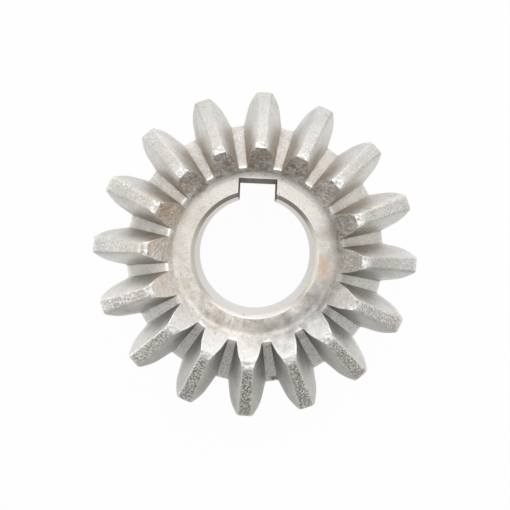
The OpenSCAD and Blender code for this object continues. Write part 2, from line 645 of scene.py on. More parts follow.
        away = np.abs(from_key)
        key_wall = np.where(
            away <= key_corner,
            ceiling / np.cos(np.minimum(away, key_corner)),
            half_key / np.sin(np.clip(away, key_corner, key_side)),
        )
        wall = np.where(away <= key_side, key_wall, blank.bore_radius)
        edge = np.maximum(wall, mouth)
        drop = np.clip(mouth - wall, 0, None)

        rim = np.full_like(wall, self.rim_radius)
        front_radii = [rim, *self._stretch(rim, edge, blank.ring_steps)]
        front = [np.column_stack([radius, self.front_height(radius)]) for radius in front_radii]
        chamfer_end = np.column_stack([wall, front[-1][:, 1] - drop])
        back_end = np.column_stack([wall, drop])
        back_edge = np.column_stack([edge, np.zeros_like(edge)])
        back_radius = np.full_like(edge, blank.hub_radius - blank.hub_chamfer)
        back_rim = np.column_stack([back_radius, np.zeros_like(edge)])
        stretches = [
            front,
            self._stretch(front[-1], chamfer_end, blank.chamfer_steps),
            self._stretch(chamfer_end, back_end, blank.bore_steps),
            self._stretch(back_end, back_edge, blank.chamfer_steps),
            self._stretch(back_edge, back_rim, blank.back_steps),
        ]
        rows = np.array([row for stretch in stretches for row in stretch])
        columns = np.tile(azimuth, (len(rows), 1))
        columns[[0, -1]] = rim_azimuth
        points = self._spun(rows, columns)
        ends = np.cumsum([len(stretch) for stretch in stretches])
        in_key = np.tile(away <= key_side + TINY, (len(rows), 1))
        return self._grid_object("bored_core", points, self._core_masks(rows, ends, in_key), closed=True)

    @staticmethod
    def _stretch(start: np.ndarray, end: np.ndarray, steps: int) -> list[np.ndarray]:
        """Rows that lead from a start, which is left out, to an end."""
        return [start + (end - start) * t for t in np.linspace(0, 1, steps + 1)[1:]]

    def _core_masks(self, rows: np.ndarray, ends: np.ndarray, in_key: np.ndarray) -> dict[str, np.ndarray]:
        """Masks that the finishes read, one value for each point of the core.

        Args:
            rows: radius and height of each point.
            ends: number of rows up to the end of the front, its chamfer, the bore, its chamfer and the back.
            in_key: whether a point lies in the keyway.

        Returns:
            Values by mask name.
        """
        places = self.places
        index = np.arange(len(rows))[:, None] + np.zeros(rows.shape[1])[None, :]
        front = index < ends[0]
        bored = (index >= ends[0] - 1) & (index < ends[3])
        ring_ends = self.flat_radius + places.ring_blend, self.flat_radius - places.ring_blend
        ring = ramp(rows[..., 0], *ring_ends) * front
        return {
            "cast": (1 - places.ring_smooth * ring) * front,
            "ring": (places.fillet_share + (1 - places.fillet_share) * ring) * front,
            "toe": places.fillet_soil * (1 - ring) * front,
            "turned": (bored & ~in_key) | (index >= ends[3]),
            "chamfer": (index >= ends[0] - 1) & (index < ends[1]),
            "broached": bored & in_key,
        }

    @staticmethod
    def _grid_object(
        name: str, points: np.ndarray, masks: Mapping[str, np.ndarray], closed: bool = False
    ) -> bpy.types.Object:
        """Makes a mesh object from a grid of points.

        Args:
            name: name of the object.
            points: points by row and column, in millimetres.
            masks: a value for each point, by attribute name.
            closed: whether the last column joins the first.

        Returns:
            The object, linked to the scene.
        """
        rows, columns = points.shape[:2]
        index = np.arange(rows * columns).reshape(rows, columns)
        if closed:
            index = np.column_stack([index, index[:, 0]])
        around = [index[:-1, :-1], index[:-1, 1:], index[1:, 1:], index[1:, :-1]]
        quads = np.stack(around, axis=-1).reshape(-1, 4)
        mesh = bpy.data.meshes.new(name)
        mesh.from_pydata((points.reshape(-1, 3) * MM).tolist(), [], quads.tolist())
        for mask, values in masks.items():
            layer = mesh.attributes.new(mask, "FLOAT", "POINT")
            layer.data.foreach_set("value", np.ascontiguousarray(values, dtype=np.float32).ravel())
        made = bpy.data.objects.new(name, mesh)
        bpy.context.scene.collection.objects.link(made)
        return made


class GearTree:
    """Geometry node tree that repeats the tooth sector, welds it to the core and weathers the cast skin."""

    MASK_EDGE = 0.5

    def __init__(self) -> None:
        """Makes the tree with its named inputs."""
        self.tree = bpy.data.node_groups.new("bevel_pinion", "GeometryNodeTree")
        self.sockets: dict[str, bpy.types.NodeTreeInterfaceSocket] = {}
        self.tree.interface.new_socket("Geometry", in_out="OUTPUT", socket_type="NodeSocketGeometry")
        kinds = {
            "Sector": "Object",
            "Core": "Object",
            "Teeth": "Int",
            "Clocking": "Float",
            "Weld Distance": "Float",
            "Wave Size": "Float",
            "Wave Depth": "Float",
            "Dent Size": "Float",
            "Dent Depth": "Float",
            "Seed": "Float",
            **{finish.name.title(): "Material" for finish in Finish},
        }
        for name, kind in kinds.items():
            self.sockets[name] = self.tree.interface.new_socket(
                name, in_out="INPUT", socket_type=f"NodeSocket{kind}"
            )
        self._fill()

    def _fill(self) -> None:
        """Adds the nodes, from the single sector to the finished gear."""
        tree = self.tree
        given = add_node(tree, "NodeGroupInput").outputs
        index = add_node(tree, "GeometryNodeInputIndex").outputs[0]
        step = add_node(
            tree, "ShaderNodeMath", {0: math.tau, 1: given["Teeth"]}, operation="DIVIDE"
        ).outputs[0]
        turn = add_node(
            tree, "ShaderNodeMath", {0: index, 1: step, 2: given["Clocking"]}, operation="MULTIPLY_ADD"
        ).outputs[0]
        euler = add_node(tree, "ShaderNodeCombineXYZ", {"Z": turn}).outputs[0]
        rotation = add_node(tree, "FunctionNodeEulerToRotation", {0: euler}).outputs[0]
        places = add_node(tree, "GeometryNodePoints", {"Count": given["Teeth"]}).outputs[0]
        sector = add_node(tree, "GeometryNodeObjectInfo", {"Object": given["Sector"]}).outputs["Geometry"]
        ring = add_node(
            tree, "GeometryNodeInstanceOnPoints", {"Points": places, "Instance": sector, "Rotation": rotation}
        ).outputs[0]
        teeth = add_node(tree, "GeometryNodeRealizeInstances", {0: ring}).outputs[0]
        core = add_node(tree, "GeometryNodeObjectInfo", {"Object": given["Core"]}).outputs["Geometry"]
        joined = add_node(tree, "GeometryNodeJoinGeometry", {0: teeth})
        tree.links.new(core, joined.inputs[0])
        welded = add_node(
            tree,
            "GeometryNodeMergeByDistance",
            {"Geometry": joined.outputs[0], "Distance": given["Weld Distance"]},
        ).outputs[0]
        shape = self._weathered(welded, given)
        for finish in Finish:
            painted = add_node(
                tree, "GeometryNodeSetMaterial", {"Geometry": shape, "Material": given[finish.name.title()]}
            )
            if finish is not Finish.CAST:
                named = {"Name": finish.name.lower()}
                mask = add_node(tree, "GeometryNodeInputNamedAttribute", named, data_type="FLOAT").outputs[0]
                over = add_node(
                    tree, "FunctionNodeCompare", {0: mask, 1: self.MASK_EDGE}, operation="GREATER_THAN"
                )
                tree.links.new(over.outputs[0], painted.inputs["Selection"])
            shape = painted.outputs[0]
        add_node(tree, "NodeGroupOutput", {0: shape})

    def _weathered(
        self, shape: bpy.types.NodeSocket, given: bpy.types.bpy_prop_collection
    ) -> bpy.types.NodeSocket:
        """Sinks the cast skin a little by two noises, which leaves the machined faces as they are.

        Args:
            shape: the welded gear.
            given: outputs of the tree's input node.

        Returns:
            The uneven gear.
        """
        tree = self.tree
        depth = 0.0
        for kind in ("Wave", "Dent"):
            scale = add_node(tree, "ShaderNodeMath", {0: 1.0, 1: given[f"{kind} Size"]}, operation="DIVIDE")
            noise = add_node(
                tree,
                "ShaderNodeTexNoise",
                {"Scale": scale.outputs[0], "W": given["Seed"], "Detail": 1.0},
                noise_dimensions="4D",
            )
            parts = {0: noise.outputs[0], 1: given[f"{kind} Depth"], 2: depth}
            depth = add_node(tree, "ShaderNodeMath", parts, operation="MULTIPLY_ADD").outputs[0]
        named = {"Name": Finish.CAST.name.lower()}
        cast = add_node(tree, "GeometryNodeInputNamedAttribute", named, data_type="FLOAT").outputs[0]
        masked = add_node(tree, "ShaderNodeMath", {0: depth, 1: cast}, operation="MULTIPLY").outputs[0]
        inward = add_node(tree, "ShaderNodeMath", {0: masked, 1: -1.0}, operation="MULTIPLY").outputs[0]
        normal = add_node(tree, "GeometryNodeInputNormal").outputs[0]
        moves = {0: normal, "Scale": inward}
        offset = add_node(tree, "ShaderNodeVectorMath", moves, operation="SCALE").outputs[0]
        return add_node(tree, "GeometryNodeSetPosition", {"Geometry": shape, "Offset": offset}).outputs[0]

    def make(self, name: str, values: Mapping[str, Any]) -> bpy.types.Object:
        """Runs the tree once and keeps its result as a plain mesh.

        Args:
            name: name of the new object.
            values: a value for each of the tree's inputs.

        Returns:
            The new object, with no modifier.
        """
        host = bpy.data.objects.new("tree_host", bpy.data.meshes.new("tree_host"))
        bpy.context.scene.collection.objects.link(host)
        modifier = host.modifiers.new("tree", "NODES")
        modifier.node_group = self.tree
        for key, value in values.items():
            modifier[self.sockets[key].identifier] = value
        depsgraph = bpy.context.evaluated_depsgraph_get()
        mesh = bpy.data.meshes.new_from_object(host.evaluated_get(depsgraph), depsgraph=depsgraph)
        made = bpy.data.objects.new(name, mesh)
        bpy.context.scene.collection.objects.link(made)
        bpy.data.objects.remove(host)
        return made


def coated(
    tree: bpy.types.NodeTree, cover: bpy.types.NodeSocket, coat: tuple[str, float], under: Surface
) -> Surface:
    """Covers a surface in part with another colour.

    Args:
        tree: the material's tree.
        cover: how much is covered.
        coat: the new colour, and how much it adds to the roughness.
        under: colour and roughness of what is covered.

    Returns:
        Colour and roughness of the two together.
    """
    under_colour, under_roughness = under
    coat_colour, rougher = coat
    colours = {0: cover, 6: under_colour, 7: linear(coat_colour)}
    colour = add_node(tree, "ShaderNodeMix", colours, data_type="RGBA", clamp_factor=True).outputs[2]
    if not rougher:
        return colour, under_roughness
    levels = {0: cover, 1: rougher, 2: under_roughness}
    roughness = add_node(tree, "ShaderNodeMath", levels, operation="MULTIPLY_ADD", use_clamp=True).outputs[0]
    return colour, roughness


@dataclass(frozen=True, kw_only=True)
class Spread:
    """A noise on the metal, kept to a mask, where it has one.

    The size of its grain is in millimetres. The fade gives the two places along Y between which it comes in.
    """

    size: float
    mask: str = ""
    fade: tuple[float, float] | None = None
    lay: Lay = Lay.EVEN

    def noise(self, tree: bpy.types.NodeTree, place: bpy.types.NodeSocket) -> bpy.types.NodeSocket:
        """Adds the noise.

        Args:
            tree: the material's tree.
            place: coordinates in object space.

        Returns:
            Output of the noise, from about 0 to 1.
        """
        drawn = self.lay.drawn(tree, place)
        values = {"Vector": drawn, "Scale": 1 / (self.size * MM), "Detail": 3.0}
        return add_node(tree, "ShaderNodeTexNoise", values).outputs[0]

    def kept(
        self, tree: bpy.types.NodeTree, place: bpy.types.NodeSocket, value: bpy.types.NodeSocket
    ) -> bpy.types.NodeSocket:
        """Keeps a value to the mask and the fade.

        Args:
            tree: the material's tree.
            place: coordinates in object space.
            value: the value over the whole surface.

        Returns:
            The value where it stays, and 0 elsewhere.
        """
        limits = []
        if self.mask:
            limits.append(add_node(tree, "ShaderNodeAttribute", attribute_name=self.mask).outputs["Fac"])
        if self.fade:
            across = add_node(tree, "ShaderNodeSeparateXYZ", {0: place}).outputs["Y"]
            ends = {"From Min": self.fade[0] * MM, "From Max": self.fade[1] * MM}
            limits.append(add_node(tree, "ShaderNodeMapRange", {"Value": across, **ends}).outputs[0])
        for limit in limits:
            value = add_node(tree, "ShaderNodeMath", {0: value, 1: limit}, operation="MULTIPLY").outputs[0]
        return value


@dataclass(frozen=True, kw_only=True)
class Veil(Spread):
    """A veil of colour over the metal, where the noise passes from one level to another."""

    colour: str
    share: float
    start: float
    full: float
    rough: float = 0.0

    def lay_over(self, tree: bpy.types.NodeTree, place: bpy.types.NodeSocket, under: Surface) -> Surface:
        """Lays the veil over a surface.

        Args:
            tree: the material's tree.
            place: coordinates in object space.
            under: colour and roughness under the veil.

        Returns:
            Colour and roughness with the veil.
        """
        levels = {"From Min": self.start, "From Max": self.full, "To Max": self.share}
        cover = add_node(tree, "ShaderNodeMapRange", {"Value": self.noise(tree, place), **levels}).outputs[0]
        return coated(tree, self.kept(tree, place, cover), (self.colour, self.rough), under)


@dataclass(frozen=True, kw_only=True)
class Relief(Spread):
    """Unevenness that is too fine for the mesh, as a bump."""

    depth: float

    def raise_over(
        self, tree: bpy.types.NodeTree, place: bpy.types.NodeSocket, height: Feed
    ) -> bpy.types.NodeSocket:
        """Adds the relief to a height.

        Args:
            tree: the material's tree.
            place: coordinates in object space.
            height: height without the relief.

        Returns:
            The height with it, in millimetres.
        """
        parts = {0: self.kept(tree, place, self.noise(tree, place)), 1: self.depth, 2: height}
        return add_node(tree, "ShaderNodeMath", parts, operation="MULTIPLY_ADD").outputs[0]


@dataclass(frozen=True)
class Stain:
    """A mark of use or casting: a patch of colour about a point, in millimetres.

    A noise makes the patch ragged: it adds up to so many reaches to the distance from the point.
    """

    at: tuple[float, float, float]
    reach: float
    colour: str
    share: float
    rough: float = 0.0
    ragged: float = 2.0

    def lay_over(self, tree: bpy.types.NodeTree, place: bpy.types.NodeSocket, under: Surface) -> Surface:
        """Lays the stain over a surface.

        Args:
            tree: the material's tree.
            place: coordinates in object space.
            under: colour and roughness under the stain.

        Returns:
            Colour and roughness with the stain.
        """
        reach = self.reach * MM
        centre = tuple(value * MM for value in self.at)
        widest = self.ragged * reach
        gap = add_node(
            tree, "ShaderNodeVectorMath", {0: place, 1: centre}, operation="DISTANCE"
        ).outputs["Value"]
        grain = {"Vector": place, "Scale": self.ragged / reach, "Detail": 4.0}
        noise = add_node(tree, "ShaderNodeTexNoise", grain).outputs[0]
        uneven = add_node(
            tree, "ShaderNodeMath", {0: noise, 1: widest, 2: gap}, operation="MULTIPLY_ADD"
        ).outputs[0]
        levels = {"From Min": widest, "From Max": reach, "To Max": self.share}
        cover = add_node(tree, "ShaderNodeMapRange", {"Value": uneven, **levels}).outputs[0]
        return coated(tree, cover, (self.colour, self.rough), under)


@dataclass(frozen=True)
class SteelFinish:
    """A steel surface: its colour, the marks over it and its fine relief."""

    name: str
    colour: str
    roughness: float
    reliefs: tuple[Relief, ...]
    marks: tuple[Veil | Stain, ...]
    metallic: float = 1.0

    def build(self) -> bpy.types.Material:
        """Makes the material from noises in object space and the masks on the mesh.

        Returns:
            The material.
        """
        material = bpy.data.materials.new(self.name)
        material.use_nodes = True
        tree = material.node_tree
        tree.nodes.clear()
        place = add_node(tree, "ShaderNodeTexCoord").outputs["Object"]
        surface = linear(self.colour), self.roughness
        for mark in self.marks:
            surface = mark.lay_over(tree, place, surface)
        height = 0.0
        for relief in self.reliefs:
            height = relief.raise_over(tree, place, height)
        colour, roughness = surface
        heights = {"Strength": 1.0, "Distance": MM, "Height": height}
        bump = add_node(tree, "ShaderNodeBump", heights).outputs[0]
        values = {"Base Color": colour, "Metallic": self.metallic, "Roughness": roughness, "Normal": bump}
        shader = add_node(tree, "ShaderNodeBsdfPrincipled", values)
        add_node(tree, "ShaderNodeOutputMaterial", {"Surface": shader.outputs[0]})
        return material


@dataclass(frozen=True)
class SoftLamp:
    """A soft studio lamp: a rectangle that faces the gear. Sizes are in metres."""

    name: str
    at: tuple[float, float, float]
    size: tuple[float, float]
    watts: float
    colour: str = "#ffffff"

    def build(self, aim: Vector) -> bpy.types.Object:
        """Makes the lamp.

        Args:
            aim: the point that it faces.

        Returns:
            The lamp's object.
        """
        light = bpy.data.lights.new(self.name, "AREA")
        light.shape = "RECTANGLE"
        light.size, light.size_y = self.size
        light.energy = self.watts
        light.color = linear(self.colour)[:3]
        lamp = bpy.data.objects.new(self.name, light)
        lamp.location = self.at
        lamp.rotation_euler = (aim - Vector(self.at)).to_track_quat("-Z", "Y").to_euler()
        bpy.context.scene.collection.objects.link(lamp)
        return lamp


@dataclass(frozen=True)
class Studio:
    """Pale floor, soft lamps and the camera of the photograph, in millimetres."""

    lamps: tuple[SoftLamp, ...]
    floor_size: float = 3000.0
    floor_gap: float = 0.05
    floor_colour: str = "#d0d0ce"
    floor_glow: float = 0.97
    mirror_span: tuple[float, float] = (-38.0, -10.0)
    world_level: float = 0.45
    ring_height: float = 26.0
    camera_distance: float = 240.0
    camera_tilt: float = math.radians(1.2)
    camera_roll: float = math.radians(2.6)
    aim_right: float = 0.06
    pixels_per_mm: float = 4.84
    image_width: int = 510
    sensor: float = 36.0

    def build(self) -> None:
        """Sets up the floor, the world, the lamps and the camera."""
        scene = bpy.context.scene
        scene.view_settings.view_transform = "Standard"
        self._floor()
        self._world()
        for lamp in self.lamps:
            lamp.build(Vector((0, 0, self.ring_height * MM)))
        self._camera()

    def _floor(self) -> None:
        """Lays a matt pale floor that reads as white paper and keeps a faint shadow of the gear."""
        half = self.floor_size * MM / 2
        height = -self.floor_gap * MM
        corners = [(x * half, y * half, height) for x, y in ((-1, -1), (1, -1), (1, 1), (-1, 1))]
        mesh = bpy.data.meshes.new("floor")
        mesh.from_pydata(corners, [], [(0, 1, 2, 3)])
        mesh.materials.append(self._paper())
        floor = bpy.data.objects.new("floor", mesh)
        bpy.context.scene.collection.objects.link(floor)

    def _paper(self) -> bpy.types.Material:
        """Makes matt white paper that the camera sees as white, and reflections too towards its far side.

        Returns:
            The material.
        """
        material = bpy.data.materials.new("matt_white_paper")
        material.use_nodes = True
        tree = material.node_tree
        tree.nodes.clear()
        matt = add_node(tree, "ShaderNodeBsdfDiffuse", {"Color": linear(self.floor_colour)}).outputs[0]
        glow = add_node(tree, "ShaderNodeEmission", {"Color": (1, 1, 1, 1), "Strength": 1.0}).outputs[0]
        path = add_node(tree, "ShaderNodeLightPath").outputs
        rays = {0: path["Is Glossy Ray"], 1: path["Is Transmission Ray"]}
        mirror = add_node(tree, "ShaderNodeMath", rays, operation="MAXIMUM").outputs[0]
        place = add_node(tree, "ShaderNodeTexCoord").outputs["Object"]
        across = add_node(tree, "ShaderNodeSeparateXYZ", {0: place}).outputs["Y"]
        near, far = self.mirror_span
        span = {"Value": across, "From Min": near * MM, "From Max": far * MM}
        fall = add_node(tree, "ShaderNodeMapRange", span, interpolation_type="SMOOTHSTEP").outputs[0]
        mirror = add_node(tree, "ShaderNodeMath", {0: mirror, 1: fall}, operation="MULTIPLY").outputs[0]
        shares = {0: path["Is Camera Ray"], 1: self.floor_glow, 2: mirror}
        share = add_node(tree, "ShaderNodeMath", shares, operation="MULTIPLY_ADD").outputs[0]
        mixed = add_node(tree, "ShaderNodeMixShader", {0: share, 1: matt, 2: glow}).outputs[0]
        add_node(tree, "ShaderNodeOutputMaterial", {"Surface": mixed})
        return material

    def _world(self) -> None:
        """Gives a low even light from all round, which the camera sees as white."""
        world = bpy.data.worlds.new("studio")
        world.use_nodes = True
        tree = world.node_tree
        tree.nodes.clear()
        camera = add_node(tree, "ShaderNodeLightPath").outputs["Is Camera Ray"]
        levels = {"Value": camera, "To Min": self.world_level, "To Max": 1.0}
        level = add_node(tree, "ShaderNodeMapRange", levels).outputs[0]
        white = {"Color": (1, 1, 1, 1), "Strength": level}
        shade = add_node(tree, "ShaderNodeBackground", white).outputs[0]
        add_node(tree, "ShaderNodeOutputWorld", {"Surface": shade})
        bpy.context.scene.world = world

    def _camera(self) -> None:
        """Places the camera almost on the gear's axis, as the photograph shows it."""
        camera = bpy.data.cameras.new("camera")
        camera.sensor_width = self.sensor
        camera.lens = self.pixels_per_mm * self.camera_distance / self.image_width * self.sensor
        up = Vector((-math.sin(self.camera_roll), math.cos(self.camera_roll), 0))
        right = Vector((math.cos(self.camera_roll), math.sin(self.camera_roll), 0))
        target = Vector((0, 0, self.ring_height)) + right * self.aim_right
        back = up * math.sin(self.camera_tilt) + Vector((0, 0, math.cos(self.camera_tilt)))
        top = back.cross(right)
        holder = bpy.data.objects.new("camera", camera)
        turn = Matrix((right, top, back)).transposed().to_4x4()
        holder.matrix_world = Matrix.Translation((target + back * self.camera_distance) * MM) @ turn
        bpy.context.scene.collection.objects.link(holder)
        bpy.context.scene.camera = holder


@dataclass
class Pinion:
    """The gear: its forms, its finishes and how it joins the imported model."""

    teeth: ToothForm
    blank: BlankForm
    places: MarkPlaces
    finishes: Mapping[Finish, SteelFinish]
    clocking: float = math.radians(89)
    weld: float = 0.002
    wave_size: float = 6.0
    wave_depth: float = 0.06
    dent_size: float = 1.6
    dent_depth: float = 0.04
    seed: float = 7.0
    smooth_below: float = math.radians(32)

    def build(self) -> bpy.types.Object:
        """Builds the gear's skin as one plain mesh.

        Returns:
            The skin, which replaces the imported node.
        """
        skin = PinionSkin(self.teeth, self.blank, self.places, self.clocking)
        sector, core = skin.sector(), skin.core()
        values = {
            "Sector": sector,
            "Core": core,
            "Teeth": self.teeth.teeth,
            "Clocking": self.clocking,
            "Weld Distance": self.weld * MM,
            "Wave Size": self.wave_size * MM,
            "Wave Depth": self.wave_depth * MM,
            "Dent Size": self.dent_size * MM,
            "Dent Depth": self.dent_depth * MM,
            "Seed": self.seed,
            **{finish.name.title(): self.finishes[finish].build() for finish in Finish},
        }
        made = GearTree().make("pinion_skin", values)
        for source in (sector, core):
            bpy.data.objects.remove(source)
        self._close(made.data)
        return made

    def _close(self, mesh: bpy.types.Mesh) -> None:
        """Turns all faces outwards and smooths all but the sharp edges.

        Args:
            mesh: the skin's mesh.
        """
        shape = bmesh.new()
        shape.from_mesh(mesh)
        bmesh.ops.recalc_face_normals(shape, faces=shape.faces)
        shape.to_mesh(mesh)
        shape.free()
        mesh.shade_smooth()
        mesh.set_sharp_from_angle(angle=self.smooth_below)

    def dress(self, skin: bpy.types.Object) -> None:
        """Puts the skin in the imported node's place.

        Args:
            skin: the skin's object.
        """
        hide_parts(NODE)
        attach(skin, BODY)


# Values that two veils share: the lower lands' dark grain, partly painted shade, and painted glints,
# and bright edges, partly rubbed and partly painted highlight.
LOWER_LAND = {"size": 0.26, "mask": "land", "fade": (0.0, -22.0), "lay": Lay.ACROSS}
EDGE_WEAR_AND_HIGHLIGHT = {"colour": "#f4f3f0", "share": 0.8, "size": 1.5, "start": 0.25, "full": 0.5, "rough": -0.25}

# Grain of the blast all over: dark dimples, and bright specks that are painted glints. It is drawn coarser
# than it is, to show.
BLAST_GRAIN_AND_GLINTS = (
    Veil(colour="#87847f", share=0.3, size=0.26, start=0.56, full=0.36),
    # Painted glints: bright specks with a smoother shine.
    Veil(colour="#f6f5f2", share=0.3, size=0.4, start=0.57, full=0.7, rough=-0.3),
)

# Flanks: rubbed smoother and paler than the skin round them.
FLANK_SHEEN = (
    Veil(colour="#f0efed", share=0.5, size=4.0, start=0.2, full=0.45, mask="flank", rough=-0.4),
    Veil(colour="#8b867e", share=0.3, size=0.32, start=0.54, full=0.4, mask="flank"),
)

# Top lands: fine grain on the upper ones, the uppermost toned darker, and on the lower ones a dark, coarse
# grain, partly painted shade of the raking light, with bright peaks that are painted glints.
LAND_GRAIN_SHADE_AND_GLINTS = (
    Veil(colour="#a3a19c", share=0.42, size=0.3, start=0.6, full=0.38, mask="land", fade=(-10.0, 14.0)),
    Veil(colour="#a9a8a6", share=0.5, size=4.0, start=0.0, full=0.3, mask="land", fade=(19.0, 29.0)),
    Veil(colour="#807b74", share=0.3, size=0.3, start=0.56, full=0.42, mask="land", fade=(28.0, 10.0)),
    # Painted shade and painted glints on the lower lands: dark coarse grain and bright peaks.
    Veil(colour="#5a4228", share=0.58, start=0.58, full=0.42, rough=0.2, **LOWER_LAND),
    Veil(colour="#fbf8f2", share=1.0, start=0.5, full=0.58, rough=-0.2, **LOWER_LAND),
)

# Root lands: a dull haze, darker in the corners at the foot of the flanks, more so towards the lower teeth,
# paler on the lower teeth, and dark casting specks that grow towards the lower teeth.
ROOT_SPECKS = (
    Veil(colour="#9b958b", share=0.25, size=5.0, start=0.42, full=0.68),
    Veil(colour="#5a5046", share=0.5, size=3.0, start=0.0, full=0.4, mask="recess", fade=(18.0, -6.0)),
    Veil(colour="#57524a", share=0.35, size=0.5, start=0.62, full=0.68, mask="root"),
    Veil(colour="#7a756d", share=0.25, size=0.34, start=0.48, full=0.38, mask="root"),
    Veil(colour="#f0eeeb", share=0.6, size=3.0, start=0.0, full=0.3, mask="root", fade=(6.0, -12.0)),
    Veil(colour="#4a443c", share=0.5, size=0.45, start=0.54, full=0.68, mask="root", fade=(10.0, -14.0)),
)

# Toe faces: brown casting scale and dark specks on the upper ones, which the blast has cleaned off the lower
# ones; bright specks that are painted glints; and painted light that makes the lower ones, facing the lamps,
# paler.
TOE_SCALE_AND_LIGHT = (
    Veil(
        colour="#8c6a40",
        share=0.5,
        size=2.2,
        start=0.35,
        full=0.65,
        mask="toe",
        rough=-0.3,
        fade=(-18.0, 4.0),
    ),
    Veil(colour="#4f473b", share=0.4, size=0.9, start=0.52, full=0.36, mask="toe", fade=(-8.0, 14.0)),
    Veil(colour="#4a4238", share=0.3, size=0.35, start=0.48, full=0.36, mask="toe", fade=(-8.0, 14.0)),
    # Painted glints on the toe faces.
    Veil(colour="#f6f2ea", share=0.5, size=0.5, start=0.57, full=0.65, mask="toe", rough=-0.3),
    # Painted light: the lower toe faces, which face the lamps, made paler.
    Veil(colour="#dad9d6", share=0.7, size=2.5, start=0.2, full=0.45, mask="toe", fade=(0.0, -14.0)),
)

# Front ring: paler and finer, lighter towards the top, with a darker, warm mottle low down.
RING_SKIN = (
    Veil(colour="#efebe5", share=0.7, size=3.0, start=0.2, full=0.5, mask="ring"),
    Veil(colour="#f5f3f0", share=0.25, size=4.0, start=0.1, full=0.4, mask="ring", fade=(-4.0, 8.0)),
    Veil(colour="#877e73", share=0.28, size=0.22, start=0.52, full=0.4, mask="ring"),
    Veil(colour="#9b9187", share=0.35, size=1.0, start=0.5, full=0.62, mask="ring", fade=(2.0, -12.0)),
    Veil(colour="#b59c80", share=0.3, size=2.6, start=0.48, full=0.65, mask="ring", fade=(10.0, -8.0)),
)

# Tooth spaces: light rust under the upper flanks, brown at the foot of the flanks, pits all over, and painted
# shade at the toe end of the spaces, brown on the upper teeth and near black on the lower ones.
SPACE_SOIL_AND_SHADE = (
    Veil(colour="#8d7250", share=0.26, size=1.8, start=0.35, full=0.6, mask="valley", fade=(-8.0, 10.0)),
    # Painted shade at the toe end of the upper tooth spaces, in brown.
    Veil(colour="#7d5f3c", share=0.55, size=2.0, start=0.1, full=0.55, mask="deep", fade=(-8.0, 10.0)),
    Veil(colour="#94713f", share=0.55, size=1.6, start=0.4, full=0.6, mask="foot", fade=(-8.0, 8.0)),
    Veil(colour="#5f564a", share=0.45, size=0.35, start=0.6, full=0.68, mask="foot"),
    # Painted shade at the toe end of the lower tooth spaces, near black.
    Veil(colour="#4a3f34", share=0.85, size=2.0, start=0.1, full=0.5, mask="deep", fade=(10.0, -10.0)),
    Veil(colour="#5d564d", share=0.3, size=0.7, start=0.64, full=0.7),
)

# Edges: rubbed bright all round; on the lower teeth the toe and heel edges and the tip's rounding are
# brighter still, as painted highlight where the light catches them.
WORN_AND_LIT_EDGES = (
    Veil(colour="#f4f3f0", share=0.12, size=1.5, start=0.3, full=0.6, mask="wear"),
    # Painted highlight, with some rubbing, on the edges of the lower teeth.
    Veil(mask="wear", fade=(20.0, -6.0), **EDGE_WEAR_AND_HIGHLIGHT),
    Veil(mask="ridge", fade=(-2.0, -20.0), **EDGE_WEAR_AND_HIGHLIGHT),
    Veil(colour="#fbfaf8", share=0.6, size=1.0, start=0.25, full=0.5, mask="lip", rough=-0.3),
)

# Marks on the ring: two touching peach spots, small brown ones, and a grey, rubbed arc low on the right.
RING_STAINS = (
    Stain(at=(14.5, -1.05, 26.0), reach=2.2, colour="#dcb99c", share=0.55),
    Stain(at=(14.6, -3.1, 26.0), reach=2.2, colour="#dcb99c", share=0.55),
    Stain(at=(-11.8, 12.8, 26.6), reach=1.8, colour="#857a6d", share=0.5, rough=-0.6),
    Stain(at=(-7.1, -14.3, 26.0), reach=2.6, colour="#a08c78", share=0.5),
    Stain(at=(-9.3, -12.8, 26.0), reach=1.4, colour="#8d7862", share=0.5),
    Stain(at=(1.5, -15.2, 26.0), reach=4.5, colour="#9d978d", share=0.6),
    Stain(at=(7.0, -14.0, 26.0), reach=6.0, colour="#868583", share=0.85, rough=-0.3),
    Stain(at=(12.8, -9.8, 26.2), reach=6.0, colour="#8a8987", share=0.85, rough=-0.3),
    Stain(at=(15.4, -5.4, 26.2), reach=3.5, colour="#979490", share=0.6, rough=-0.3),
    Stain(at=(15.2, 5.0, 26.2), reach=4.0, colour="#9b9184", share=0.5),
)

